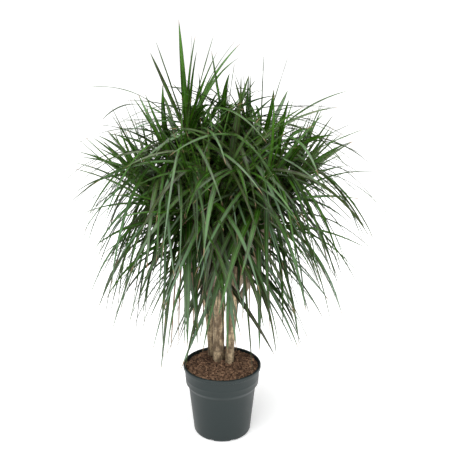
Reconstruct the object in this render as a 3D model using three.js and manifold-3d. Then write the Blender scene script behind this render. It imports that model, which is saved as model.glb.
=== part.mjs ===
// A branched Madagascar dragon tree in a round nursery pot, in millimetres with +Z up.
// The origin is the middle of the pot's underside, and -Y is the front.
//
// Three woody canes stand in the potting mix. Each was cut off at its top and has sent out
// branches, and each branch ends in a crown: a short leafy tip with long, narrow leaves that
// spiral round it, upright when young and hanging when old.

import * as THREE from "three";
import { mergeVertices } from "three/addons/utils/BufferGeometryUtils.js";
import Module from "manifold-3d";

// ---------------------------------------------------------------- driving dimensions

const GAP = 0.3; // between pieces that touch

const POT = {
  facets: 32,
  wall: 2,
  floor: 3,
  footRadius: 79, // where the flat underside ends
  footRound: 10, // rounding between the underside and the wall
  neckRadius: 104, // the wall's top, just under the collar
  neckHeight: 153,
  collarFoot: 113, // the collar's radius at its lower edge
  collarHeight: 167,
  collarTop: 116,
  lipHeight: 214, // underside of the rolled lip
  lipRadius: 120,
  rimHeight: 226,
  channelInner: 50, // the raised drainage ring under the floor
  channelOuter: 70,
  channelRise: 4,
  drains: 8, // curved drainage slots through the raised ring
  drainInner: 55,
  drainOuter: 65,
  drainSpan: 11.25, // degrees
  notches: 8, // notches in the rounded edge, between the slots
  notchSpan: 11.25,
  notchRise: 6,
};

const SOIL = { edge: 218, crown: 223 }; // heights of the potting mix at the wall and in the middle

const CANE_SIDES = 12;
const CANE_STEPS = 5;
const BRANCH_SIDES = 8;
const BRANCH_STEPS = 5;
const BRANCH_RADIUS = [10, 8];

// Each cane is a cubic curve from its buried foot to its cut top.
const CANES = {
  main: {
    path: [[-11, 27, 70], [-11, 28, 270], [-10, 24, 450], [-8, 18, 640]],
    radius: [19, 15.5],
  },
  right: {
    path: [[18, 5, 70], [19, 9, 240], [30, 18, 420], [58, 22, 590]],
    radius: [14.5, 12.5],
  },
  left: {
    path: [[-27, 66, 70], [-28, 64, 250], [-42, 58, 400], [-62, 52, 560]],
    radius: [14, 12],
  },
};

// Each crown: the cane that it grows from, where on the cane's curve its branch starts (0 foot, 1 top),
// the branch's tip, the lean of the tip from upright, the way it leans (0 is +X and 90 is +Y), in degrees,
// and how long its leaves grow. The first crown stands highest, and its top leaves are the longest.
const CROWNS = [
  { cane: "main", from: 0.94, tip: [-92, -6, 838], lean: 3, way: 180, length: 490 },
  { cane: "main", from: 0.97, tip: [12, 40, 836], lean: 3, way: 180, length: 440 },
  { cane: "right", from: 0.95, tip: [94, 26, 800], lean: 10, way: 10, length: 490 },
  { cane: "left", from: 0.95, tip: [-128, 40, 772], lean: 14, way: 178, length: 560 },
  { cane: "right", from: 0.86, tip: [132, -34, 752], lean: 15, way: 350, length: 560 },
  { cane: "main", from: 0.86, tip: [20, -86, 764], lean: 14, way: 280, length: 500 },
  { cane: "main", from: 0.77, tip: [-84, -88, 712], lean: 18, way: 230, length: 540 },
  { cane: "right", from: 0.76, tip: [90, -98, 694], lean: 19, way: 310, length: 540 },
  { cane: "left", from: 0.85, tip: [-70, 122, 764], lean: 14, way: 120, length: 510 },
  { cane: "right", from: 0.9, tip: [74, 122, 748], lean: 14, way: 60, length: 510 },
  { cane: "left", from: 0.76, tip: [-120, -8, 610], lean: 26, way: 200, length: 560 },
  { cane: "right", from: 0.66, tip: [116, 50, 604], lean: 26, way: 15, length: 550 },
  { cane: "main", from: 0.67, tip: [-22, -86, 582], lean: 24, way: 255, length: 500 },
  { cane: "left", from: 0.66, tip: [-26, 132, 610], lean: 24, way: 95, length: 520 },
];

// Leaves that give the plant its outline. Each row: crown, azimuth round the crown's tip (90 is the inner
// side and 270 the outer), splay from the tip's direction, length, sag, drift, width and age.
const OUTLINE_LEAVES = [
  [1, 190, 3, 318, 0.05, 0, 19, 0.95],
  [1, 262, 14, 275, 0.1, 0, 13, 0.93],
  [1, 285, 24, 345, 1.5, 0.1, 14, 0.72],
  [2, 300, 6, 240, 0.1, 0, 14, 0.94],
  [2, 80, 10, 215, 0.3, -0.1, 14, 0.84],
  [3, 92, 9, 265, 0.25, 0.05, 13, 0.92],
  [3, 275, 6, 268, 0.1, 0, 13, 0.93],
  [3, 268, 26, 325, 0.9, 0.1, 14, 0.78],
  [4, 272, 38, 360, 1.6, 0, 13, 0.62],
  [5, 270, 40, 270, 0.25, 0, 14, 0.85],
  [5, 262, 44, 375, 1.6, 0, 13, 0.62],
  [7, 318, 84, 400, 2.9, 0, 16, 0.2],
  [8, 232, 84, 390, 2.9, 0, 16, 0.2],
];

const CORE_LENGTH = 105; // the leafy tip beyond the branch
const CORE_RADIUS = [9, 4];
const CORE_SIDES = 6;
const LEAVES_PER_CROWN = 12;
const GOLDEN_ANGLE = 137.508;
const LEAF_STEPS = 24; // steps in which a leaf's bend is worked out
const LEAF_STATIONS = [0, 4, 8, 13, 18, 24]; // the steps that become sections of the solid
const LEAF_WIDTH = [14, 18.5];
const LEAF_KEEL = 1.5; // depth of the midrib under the blade
const LEAF_TRIES = 160;
const LEAF_SEED = 1300;
const LEAF_TOLERANCE = 0.25;

// The leaves fill an egg: its widest circle, that circle's height, and how far it reaches above and below.
// The first crown alone may reach higher, up to the plant's full height.
const EGG = { radius: 468, middle: 770, above: 350, below: 575 };
const FULL_HEIGHT = 1222;

// No leaf hangs into the pot, or into the window in front of the canes through which the plant is watered.
const POT_ROOM = { radius: 134, height: 242 };
const WINDOW = { left: -50, right: 60, back: 0, height: 420 };

const GREEN = new THREE.MeshStandardMaterial({ color: 0x2c5a24, roughness: 0.42, metalness: 0 });
const BARK = new THREE.MeshStandardMaterial({ color: 0x9a8467, roughness: 0.85, metalness: 0 });
const YOUNG_BARK = new THREE.MeshStandardMaterial({ color: 0x8b8168, roughness: 0.8, metalness: 0 });
const MIX = new THREE.MeshStandardMaterial({ color: 0x4a2c20, roughness: 0.95, metalness: 0 });
const PLASTIC = new THREE.MeshStandardMaterial({ color: 0x3c4343, roughness: 0.4, metalness: 0 });

// ---------------------------------------------------------------- solids

const wasm = await Module();
wasm.setup();

function solidOf(geometry) {
  const bare = geometry.index ? geometry.toNonIndexed() : geometry.clone();
  bare.deleteAttribute("normal");
  bare.deleteAttribute("uv");
  const merged = mergeVertices(bare, 1e-3);
  return new wasm.Manifold(
    new wasm.Mesh({
      numProp: 3,
      vertProperties: merged.attributes.position.array,
      triVerts: new Uint32Array(merged.index.array),
    }),
  );
}

function geometryOf(solid) {
  const mesh = solid.getMesh();
  const geometry = new THREE.BufferGeometry();
  geometry.setAttribute("position", new THREE.BufferAttribute(mesh.vertProperties, mesh.numProp));
  geometry.setIndex(new THREE.BufferAttribute(mesh.triVerts, 1));
  geometry.computeVertexNormals();
  return geometry;
}

const twoDigits = (number) => String(number).padStart(2, "0");

function named(name, geometry, material) {
  const mesh = new THREE.Mesh(geometry, material);
  mesh.name = name;
  return mesh;
}

// A closed skin over rings of equally many points, each ring seen anticlockwise from the next one.
// The last ring may be one point, such as a leaf's tip.
function skin(rings) {
  const points = rings.flat();
  const index = [];
  const sides = rings[0].length;
  const last = rings.at(-1).length === 1 ? rings.length - 2 : rings.length - 1;
  for (let ring = 0; ring < last; ring++) {
    for (let k = 0; k < sides; k++) {
      const a = ring * sides + k;
      const b = ring * sides + ((k + 1) % sides);
      index.push(a, b, b + sides, a, b + sides, a + sides);
    }
  }
  for (let k = 1; k < sides - 1; k++) index.push(0, k + 1, k);
  const top = last * sides;
  if (rings.at(-1).length === 1) {
    const tip = points.length - 1;
    for (let k = 0; k < sides; k++) index.push(top + k, top + ((k + 1) % sides), tip);
  } else {
    for (let k = 1; k < sides - 1; k++) index.push(top, top + k, top + k + 1);
  }
  const geometry = new THREE.BufferGeometry().setFromPoints(points);
  geometry.setIndex(index);
  return geometry.toNonIndexed();
}

// A round rod along a curve, whose radius goes evenly from the first figure to the second.
function taperedRod(curve, [startRadius, endRadius], steps, sides) {
  const frames = curve.computeFrenetFrames(steps, false);
  const rings = [];
  for (let step = 0; step <= steps; step++) {
    const t = step / steps;
    const centre = curve.getPointAt(t);
    const radius = startRadius + (endRadius - startRadius) * t;
    const ring = [];
    for (let k = 0; k < sides; k++) {
      const angle = (2 * Math.PI * k) / sides;
      ring.push(
        centre
          .clone()
          .addScaledVector(frames.normals[step], radius * Math.cos(angle))
          .addScaledVector(frames.binormals[step], radius * Math.sin(angle)),
      );
    }
    rings.push(ring);
  }
  return skin(rings);
}

// ---------------------------------------------------------------- pot and potting mix

function turned(profile) {
  const points = profile.map(([radius, height]) => new THREE.Vector2(radius, height));
  return new THREE.LatheGeometry(points, POT.facets).rotateX(Math.PI / 2);
}

// The hollow of the pot from its floor's middle up to the rim, moved inwards by a clearance.
function potHollow(clearance) {
  const w = POT.wall + clearance;
  const floor = POT.floor + clearance;
  const rise = floor + POT.channelRise;
  return [
    [0, floor],
    [POT.channelInner - w - 4, floor],
    [POT.channelInner - w, rise],
    [POT.channelOuter + w, rise],
    [POT.channelOuter + w + 3, floor + 2],
    [POT.footRadius + 1, floor + 4],
    [POT.footRadius + POT.footRound - w - 1, POT.footRound + floor + 2],
    [POT.neckRadius - w, POT.neckHeight],
    [POT.collarFoot - w - 0.6, POT.collarHeight],
  ];
}

// A block shaped as part of a ring, centred on +X, from just under the floor level up to a height.
function ringPart(inner, outer, spanDegrees, height) {
  const half = THREE.MathUtils.degToRad(spanDegrees / 2);
  const outline = new THREE.Shape();
  outline.absarc(0, 0, inner, -half, half, false);
  outline.absarc(0, 0, outer, half, -half, true);
  const below = 1;
  const how = { depth: height + below, bevelEnabled: false, curveSegments: 3 };
  const block = new THREE.ExtrudeGeometry(outline, how);
  return block.translate(0, 0, -below);
}

function makePot() {
  const slope = (POT.neckRadius - POT.footRadius - POT.footRound) / (POT.neckHeight - POT.footRound);
  const wallFoot = POT.footRadius + POT.footRound;
  const round = [30, 60].map((degrees) => {
    const angle = THREE.MathUtils.degToRad(degrees);
    return [
      POT.footRadius + POT.footRound * Math.sin(angle),
      POT.footRound * (1 - Math.cos(angle)),
    ];
  });
  const outside = [
    [0, 0],
    [POT.channelInner - 4, 0],
    [POT.channelInner, POT.channelRise],
    [POT.channelOuter, POT.channelRise],
    [POT.channelOuter + 3, 0],
    [POT.footRadius, 0],
    ...round,
    [wallFoot + slope, POT.footRound + 1],
    [POT.neckRadius, POT.neckHeight],
    [POT.collarFoot, POT.collarHeight],
    [POT.collarTop, POT.lipHeight],
    [POT.lipRadius, POT.lipHeight + 2],
    [POT.lipRadius, POT.rimHeight - 4],
    [POT.lipRadius - 3, POT.rimHeight],
    [POT.collarTop - 1, POT.rimHeight],
  ];
  const inside = [...potHollow(0), [POT.collarTop - POT.wall, POT.rimHeight - 3]].reverse();
  let pot = solidOf(turned([...outside, ...inside]));
  for (let k = 0; k < POT.drains; k++) {
    const drain = ringPart(POT.drainInner, POT.drainOuter, POT.drainSpan, POT.floor + POT.channelRise + 1);
    pot = pot.subtract(solidOf(drain.rotateZ((2 * Math.PI * k) / POT.drains)));
  }
  for (let k = 0; k < POT.notches; k++) {
    const notch = ringPart(POT.footRadius, POT.footRadius + POT.footRound + 2, POT.notchSpan, POT.notchRise);
    pot = pot.subtract(solidOf(notch.rotateZ((2 * Math.PI * (k + 0.5)) / POT.notches)));
  }
  return named("nursery_pot", geometryOf(pot), PLASTIC);
}

function makeSoil(canes) {
  const hollow = potHollow(GAP);
  const [collarRadius, collarHeight] = hollow.at(-1);
  const rimRadius = POT.collarTop - POT.wall - GAP;
  const share = (SOIL.edge - collarHeight) / (POT.rimHeight - 3 - collarHeight);
  const edge = collarRadius + (rimRadius - collarRadius) * share - 0.5;
  const mound = [
    [edge, SOIL.edge],
    [edge * 0.9, SOIL.edge + 2],
    [edge * 0.55, (SOIL.edge + SOIL.crown) / 2 + 1],
    [0, SOIL.crown],
  ];
  let mix = solidOf(turned([...hollow, ...mound]));
  for (const cane of Object.values(canes)) mix = mix.subtract(cane.roomy);
  return named("potting_mix", geometryOf(mix), MIX);
}

// ---------------------------------------------------------------- canes and branches

function makeCanes() {
  const canes = {};
  for (const [name, { path, radius }] of Object.entries(CANES)) {
    const curve = new THREE.CubicBezierCurve3(...path.map((p) => new THREE.Vector3(...p)));
    const wider = radius.map((r) => r + GAP);
    canes[name] = {
      curve,
      radius: radius[0],
      solid: solidOf(taperedRod(curve, radius, CANE_STEPS, CANE_SIDES)),
      roomy: solidOf(taperedRod(longer(curve, GAP), wider, CANE_STEPS, CANE_SIDES)),
    };
  }
  return canes;
}

// The same cubic curve with both ends moved outwards.
function longer(curve, by) {
  const start = curve.v0.clone().addScaledVector(curve.v1.clone().sub(curve.v0).normalize(), -by);
  const end = curve.v3.clone().addScaledVector(curve.v3.clone().sub(curve.v2).normalize(), by);
  return new THREE.CubicBezierCurve3(start, curve.v1, curve.v2, end);
}

// The way that a crown's tip points, and two directions square to it.
function crownFrame({ lean, way }) {
  const tilt = THREE.MathUtils.degToRad(lean);
  const turn = THREE.MathUtils.degToRad(way);
  const across = new THREE.Vector3(-Math.sin(turn), Math.cos(turn), 0);
  const axis = new THREE.Vector3(
    Math.sin(tilt) * Math.cos(turn),
    Math.sin(tilt) * Math.sin(turn),
    Math.cos(tilt),
  );
  return { axis, across, along: new THREE.Vector3().crossVectors(axis, across) };
}

// A branch leaves its cane sideways, swings up and ends in line with its crown.
function branchCurve(crown, canes) {
  const start = canes[crown.cane].curve.getPoint(crown.from);
  const tip = new THREE.Vector3(...crown.tip);
  const { axis } = crownFrame(crown);
  const span = tip.distanceTo(start);
  const outward = new THREE.Vector3(tip.x - start.x, tip.y - start.y, 0).normalize();
  const leave = outward.multiplyScalar(0.8).add(new THREE.Vector3(0, 0, 0.6));
  return new THREE.CubicBezierCurve3(
    start,
    start.clone().addScaledVector(leave, span * 0.4),
    tip.clone().addScaledVector(axis, -span * 0.35),
    tip,
  );
}

// ---------------------------------------------------------------- leaves

// Seeded draws, so that every build gives the same plant.
class Draws {
  constructor(seed) {
    this.state = seed >>> 0;
  }
  between(low, high) {
    this.state = (Math.imul(this.state, 1664525) + 1013904223) >>> 0;
    return low + ((high - low) * this.state) / 4294967296;
  }
}

// Half the blade's width at a share of its length: narrow at its foot, widest at a third, then a long point.
function halfWidth(width, share) {
  const swell = Math.min(1, share / 0.3);
  return (width / 2) * (0.62 + 0.38 * swell * (2 - swell)) * Math.pow(1 - Math.pow(share, 2.4), 0.85);
}

// One leaf's centre line, with the blade's sideways direction along it. age goes from 0, for the lowest and
// oldest leaf of a crown, to 1.
function bendLeaf(crown, { azimuth, splay, length, sag, drift, width, age }) {
  const turn = THREE.MathUtils.degToRad(azimuth);
  const tilt = THREE.MathUtils.degToRad(Math.max(3, splay));
  const { axis, across, along } = crownFrame(crown);
  const radial = across.clone().multiplyScalar(Math.cos(turn)).addScaledVector(along, Math.sin(turn));
  const side = along.clone().multiplyScalar(Math.cos(turn)).addScaledVector(across, -Math.sin(turn));
  const way = axis.clone().multiplyScalar(Math.cos(tilt)).addScaledVector(radial, Math.sin(tilt));
  const point = new THREE.Vector3(...crown.tip).addScaledVector(axis, CORE_LENGTH * (0.08 + 0.86 * age));
  const line = [point.clone()];
  const sides = [side.clone()];
  for (let step = 0; step < LEAF_STEPS; step++) {
    const share = (step + 0.5) / LEAF_STEPS;
    way.z -= (sag * (1.15 - 0.3 * share)) / LEAF_STEPS;
    way.addScaledVector(side, drift / LEAF_STEPS).normalize();
    side.addScaledVector(way, -side.dot(way)).normalize();
    point.addScaledVector(way, length / LEAF_STEPS);
    line.push(point.clone());
    sides.push(side.clone());
  }
  return { line, sides, width };
}

// The next try at a leaf. Each further attempt may turn it further round, and makes it a little shorter.
function drawLeaf(crown, index, attempt, draws) {
  const age = (index + 0.5) / LEAVES_PER_CROWN;
  const azimuth = index * GOLDEN_ANGLE + draws.between(-8, 8) * (1 + attempt / 10);
  const splay = 122 - 114 * Math.pow(age, 0.65) + draws.between(-8, 8) * (1 + attempt / 60);
  const young = Math.max(0, (age - 0.55) / 0.45);
  const length = crown.length * (1 - 0.42 * young) * draws.between(0.86, 1.08) * (1 - attempt / 500);
  const sag = (1.1 + 6 * age) * Math.pow(1 - age, 1.2) * draws.between(0.7, 1.3);
  const drift = draws.between(-0.35, 0.35);
  const width = draws.between(...LEAF_WIDTH);
  return bendLeaf(crown, { azimuth, splay, length, sag, drift, width, age });
}

// Whether a leaf stays inside the egg, and clear of the pot and the window.
function leafInRoom(line, crown) {
  return line.every(({ x, y, z }) => {
    const out = Math.hypot(x, y);
    const above = crown === CROWNS[0] ? FULL_HEIGHT - EGG.middle : EGG.above;
    const reach = z < EGG.middle ? EGG.below : above;
    const inEgg = (out / EGG.radius) ** 2 + ((z - EGG.middle) / reach) ** 2 < 1;
    const inPot = out < POT_ROOM.radius && z < POT_ROOM.height;
    const inWindow = x > WINDOW.left && x < WINDOW.right && y < WINDOW.back && z < WINDOW.height;
    return inEgg && !inPot && !inWindow;
  });
}

// The closest distance between two straight pieces a-b and c-d.
function segmentDistance(a, b, c, d) {
  const u = b.clone().sub(a);
  const v = d.clone().sub(c);
  const w = a.clone().sub(c);
  const uu = u.dot(u);
  const vv = v.dot(v);
  const uv = u.dot(v);
  const uw = u.dot(w);
  const vw = v.dot(w);
  const square = uu * vv - uv * uv;
  let s = square > 1e-9 ? THREE.MathUtils.clamp((uv * vw - vv * uw) / square, 0, 1) : 0;
  let t = (uv * s + vw) / vv;
  if (t < 0) {
    t = 0;
    s = THREE.MathUtils.clamp(-uw / uu, 0, 1);
  } else if (t > 1) {
    t = 1;
    s = THREE.MathUtils.clamp((uv - uw) / uu, 0, 1);
  }
  return w.addScaledVector(u, s).addScaledVector(v, -t).length();
}

// The straight pieces of a line, each with the half width that it needs kept clear and its owner.
function pieces(points, radii, owner) {
  return points.slice(1).map((end, k) => ({ start: points[k], end, radius: radii[k], owner, k }));
}

function leafPieces({ line, width }, owner) {
  const stations = LEAF_STATIONS.map((step) => line[step]);
  const radii = LEAF_STATIONS.map((step) => halfWidth(width, step / LEAF_STEPS) + 1);
  return pieces(stations, radii, owner);
}

// A leaf is clear when it keeps its width away from other crowns' leaves and from all wood.
// Its first two pieces may pass close to its own branch, which they grow from.
function isClear(leaf, owner, placed, wood) {
  const own = leafPieces(leaf, owner);
  const apart = (piece, other) =>
    segmentDistance(piece.start, piece.end, other.start, other.end) > piece.radius + other.radius;
  return own.every(
    (piece) =>
      placed.every((other) => other.owner === owner || apart(piece, other)) &&
      wood.every((other) => (other.owner === owner && piece.k < 2) || apart(piece, other)),
  );
}

// A blade: a shallow three-cornered section, flat above and keeled below, carried along its line.
function leafSolid({ line, sides, width }) {
  const rings = LEAF_STATIONS.map((step) => {
    const share = step / LEAF_STEPS;
    if (step === LEAF_STEPS) return [line[step].clone()];
    const half = halfWidth(width, share);
    const next = line[step + 1].clone().sub(line[step]).normalize();
    const up = new THREE.Vector3().crossVectors(next, sides[step]);
    const fold = half * 0.2;
    return [
      line[step].clone().addScaledVector(sides[step], half).addScaledVector(up, fold),
      line[step].clone().addScaledVector(sides[step], -half).addScaledVector(up, fold),
      line[step].clone().addScaledVector(up, -LEAF_KEEL * (1 - 0.5 * share)),
    ];
  });
  return solidOf(skin(rings));
}

function growLeaves(canes, branches) {
  const wood = [];
  for (const { curve, radius } of Object.values(canes)) {
    wood.push(...pieces(curve.getPoints(BRANCH_STEPS), Array(BRANCH_STEPS).fill(radius), "cane"));
  }
  branches.forEach((curve, k) => {
    const { axis } = crownFrame(CROWNS[k]);
    const tip = curve.getPoint(1);
    const core = [tip, tip.clone().addScaledVector(axis, CORE_LENGTH)];
    wood.push(...pieces(curve.getPoints(BRANCH_STEPS), Array(BRANCH_STEPS).fill(BRANCH_RADIUS[0]), k));
    wood.push(...pieces(core, [CORE_RADIUS[0]], k).map((piece) => ({ ...piece, core: true })));
  });
  const placed = [];
  const leaves = CROWNS.map(() => []);
  const place = (leaf, k) => {
    placed.push(...leafPieces(leaf, k));
    leaves[k].push(leaf);
  };
  for (const [number, azimuth, splay, length, sag, drift, width, age] of OUTLINE_LEAVES) {
    const shape = { azimuth, splay, length, sag, drift, width, age };
    place(bendLeaf(CROWNS[number - 1], shape), number - 1);
  }
  const draws = CROWNS.map((_, k) => new Draws(LEAF_SEED + 77 * k));
  for (let index = 0; index < LEAVES_PER_CROWN; index++) {
    CROWNS.forEach((crown, k) => {
      for (let attempt = 0; attempt < LEAF_TRIES; attempt++) {
        const leaf = drawLeaf(crown, index, attempt, draws[k]);
        const obstacles = wood.filter((piece) => !(piece.core && piece.owner === k));
        if (leafInRoom(leaf.line, crown) && isClear(leaf, k, placed, obstacles)) {
          place(leaf, k);
          break;
        }
      }
    });
  }
  return leaves;
}

// The skin around everything: a pocket closed in between leaf bases is filled.
function outerBody(solid) {
  return solid.decompose().reduce((best, body) => (body.volume() > best.volume() ? body : best));
}

function makeCrown(k, leaves) {
  const { axis } = crownFrame(CROWNS[k]);
  const foot = new THREE.Vector3(...CROWNS[k].tip).addScaledVector(axis, GAP);
  const end = foot.clone().addScaledVector(axis, CORE_LENGTH);
  let crown = solidOf(taperedRod(new THREE.LineCurve3(foot, end), CORE_RADIUS, 2, CORE_SIDES));
  for (const leaf of leaves) crown = crown.add(leafSolid(leaf));
  return named(`crown_${twoDigits(k + 1)}`, geometryOf(outerBody(crown.simplify(LEAF_TOLERANCE))), GREEN);
}

// ---------------------------------------------------------------- the whole plant

function makePlant() {
  const plant = new THREE.Group();
  const canes = makeCanes();
  const branches = CROWNS.map((crown) => branchCurve(crown, canes));
  const leaves = growLeaves(canes, branches);
  plant.add(makePot(), makeSoil(canes));
  for (const [name, cane] of Object.entries(canes)) {
    const growth = new THREE.Group();
    growth.add(named(`cane_${name}`, geometryOf(cane.solid), BARK));
    CROWNS.forEach((crown, k) => {
      if (crown.cane !== name) return;
      const rod = taperedRod(branches[k], BRANCH_RADIUS, BRANCH_STEPS, BRANCH_SIDES);
      const branch = solidOf(rod).subtract(cane.roomy);
      growth.add(named(`branch_${twoDigits(k + 1)}`, geometryOf(branch), YOUNG_BARK));
      growth.add(makeCrown(k, leaves[k]));
    });
    plant.add(growth);
  }
  return plant;
}

export default makePlant();
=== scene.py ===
"""A branched Madagascar dragon tree in a round nursery pot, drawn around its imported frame.

Lengths in the sizes and tables below are in millimetres, and a piece's mesh is in metres. +Z is up
and -Y is the front. Every crown first grows its main leaves, by the same rule as the frame's own
leaves, and then the finer leaves between them.
"""

import math

import bpy
import numpy as np
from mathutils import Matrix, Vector


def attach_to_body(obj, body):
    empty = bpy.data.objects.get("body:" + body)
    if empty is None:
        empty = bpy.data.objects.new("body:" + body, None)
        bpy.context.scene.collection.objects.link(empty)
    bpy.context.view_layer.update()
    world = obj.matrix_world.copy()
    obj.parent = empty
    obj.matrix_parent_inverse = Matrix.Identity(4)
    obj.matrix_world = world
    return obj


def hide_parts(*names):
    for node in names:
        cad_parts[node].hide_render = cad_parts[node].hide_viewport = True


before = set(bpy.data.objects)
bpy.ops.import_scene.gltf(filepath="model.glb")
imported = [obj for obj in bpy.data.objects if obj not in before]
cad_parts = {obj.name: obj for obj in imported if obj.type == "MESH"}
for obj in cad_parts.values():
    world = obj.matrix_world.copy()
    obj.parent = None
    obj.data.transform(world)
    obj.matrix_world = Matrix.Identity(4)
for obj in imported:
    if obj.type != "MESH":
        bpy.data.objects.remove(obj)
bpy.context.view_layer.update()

bl_info = {
    "name": "Potted dragon tree",
    "version": (1, 0, 0),
    "blender": (4, 5, 0),
    "location": "3D View > Sidebar > Dragon tree",
    "description": "Builds a branched dragon tree in its nursery pot, with floor, lights and camera",
    "category": "Add Mesh",
}

MM = 0.001

# ---------------------------------------------------------------- the plant's build

CANES = {
    "main": {
        "path": [(-11, 27, 70), (-11, 28, 270), (-10, 24, 450), (-8, 18, 640)],
        "radius": (19, 15.5),
    },
    "right": {
        "path": [(18, 5, 70), (19, 9, 240), (30, 18, 420), (58, 22, 590)],
        "radius": (14.5, 12.5),
    },
    "left": {
        "path": [(-27, 66, 70), (-28, 64, 250), (-42, 58, 400), (-62, 52, 560)],
        "radius": (14, 12),
    },
}

# Each crown: its cane, where on the cane's curve its branch starts, the branch's tip, the lean of
# the tip from upright, the way it leans (0 is +X, 90 is +Y) in degrees, and its leaves' length.
CROWNS = [
    ("main", 0.94, (-92, -6, 838), 3, 180, 490),
    ("main", 0.97, (12, 40, 836), 3, 180, 440),
    ("right", 0.95, (94, 26, 800), 10, 10, 490),
    ("left", 0.95, (-128, 40, 772), 14, 178, 560),
    ("right", 0.86, (132, -34, 752), 15, 350, 560),
    ("main", 0.86, (20, -86, 764), 14, 280, 500),
    ("main", 0.77, (-84, -88, 712), 18, 230, 540),
    ("right", 0.76, (90, -98, 694), 19, 310, 540),
    ("left", 0.85, (-70, 122, 764), 14, 120, 510),
    ("right", 0.9, (74, 122, 748), 14, 60, 510),
    ("left", 0.76, (-120, -8, 610), 26, 200, 560),
    ("right", 0.66, (116, 50, 604), 26, 15, 550),
    ("main", 0.67, (-22, -86, 582), 24, 255, 500),
    ("left", 0.66, (-26, 132, 610), 24, 95, 520),
]

# Leaves that give the plant its outline. Each row: crown, azimuth round the crown's tip (90 is the
# inner side and 270 the outer), splay from the tip's direction, length, sag, drift, width and age.
OUTLINE_LEAVES = [
    (1, 190, 3, 318, 0.05, 0, 19, 0.95),
    (1, 262, 14, 275, 0.1, 0, 13, 0.93),
    (1, 285, 24, 345, 1.5, 0.1, 14, 0.72),
    (2, 300, 6, 240, 0.1, 0, 14, 0.94),
    (2, 80, 10, 215, 0.3, -0.1, 14, 0.84),
    (3, 92, 9, 265, 0.25, 0.05, 13, 0.92),
    (3, 275, 6, 268, 0.1, 0, 13, 0.93),
    (3, 268, 26, 325, 0.9, 0.1, 14, 0.78),
    (4, 272, 38, 360, 1.6, 0, 13, 0.62),
    (5, 270, 40, 270, 0.25, 0, 14, 0.85),
    (5, 262, 44, 375, 1.6, 0, 13, 0.62),
    (7, 318, 84, 400, 2.9, 0, 16, 0.2),
    (8, 232, 84, 390, 2.9, 0, 16, 0.2),
]

BRANCH_RADIUS = (10, 8)
WOOD_STEPS = 5
CORE_LENGTH = 105
CORE_RADIUS = (9, 4)
MAIN_LEAVES = 12
GOLDEN_ANGLE = 137.508
LEAF_STEPS = 24
CLEAR_STATIONS = [0, 4, 8, 13, 18, 24]
LEAF_WIDTH = (14, 18.5)
LEAF_TRIES = 160
LEAF_SEED = 1300
TRIES_PER_FINE_LEAF = 14
GOLDEN_SHARE = 0.6180339887  # spreads the fine leaves' ages evenly

# Leaves stay inside this egg, whose middle is its widest height. Those of the first crown may reach
# up to the full height. They stay out of the room round the pot and of the window before the canes.
EGG = {"radius": 468, "middle": 770, "above": 350, "below": 575}
FULL_HEIGHT = 1222
POT_ROOM = {"radius": 134, "height": 242}
WINDOW = {"left": -50, "right": 60, "back": 0, "height": 420}

POT_COLUMNS = 96
POT = {
    "wall": 2,
    "floor": 3,
    "foot_radius": 79,
    "foot_round": 10,
    "neck_radius": 104,
    "neck_height": 153,
    "collar_foot": 113,
    "collar_height": 167,
    "collar_top": 116,
    "lip_height": 214,
    "lip_radius": 120,
    "rim_height": 226,
    "channel_inner": 50,
    "channel_outer": 70,
    "channel_rise": 4,
    "drains": 8,
    "drain_inner": 55,
    "drain_outer": 65,
    "notch_rise": 6,
}
COLUMNS_PER_OPENING = 3
NOTCH_WALL = 0.08  # how far the notch's side leans, in columns
SOIL = {"edge": 218, "crown": 223, "radius": 112}
MIX_CLEARANCE = 0.3
MIX_COLUMNS = 120
MIX_RINGS = 46

# ---------------------------------------------------------------- finishes and stage

CANE_HOLLOWS = (0.15, 0.1, 0.055)  # the darker ground of the canes' bark
BRANCH_RIDGES = (0.33, 0.27, 0.19)
BRANCH_HOLLOWS = (0.17, 0.13, 0.09)
BARK_STAIN = (0.16, 0.12, 0.075)
LEAF_FOOT = (0.3, 0.36, 0.16)
MIDRIB = (0.16, 0.28, 0.09)

FLOOR_HALF = 20000
GLOW_NEAR = 0.6  # metres from the pot's axis where the floor starts to glow more
GLOW_FAR = 2.6
WHITE_GLOW = 1.1
LENS = 55.6  # millimetres, on a sensor 36 wide
SENSOR = 36
CAMERA_SHIFT = 0.009  # metres to the right of the pot's axis
CAMERA_TILT = 15.7  # degrees below level
AIM = (0, 0, 0.6)

# Each light: its name, its place and size in metres, and its power as a share of the key light's.
LIGHTS = [
    ("key", (-1.3, -2.3, 2.6), 2.6, 1),
    ("top", (0.2, 0.2, 3.0), 2.0, 0.6),
    ("fill", (2.2, -1.6, 1.6), 1.8, 0.3),
]


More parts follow.
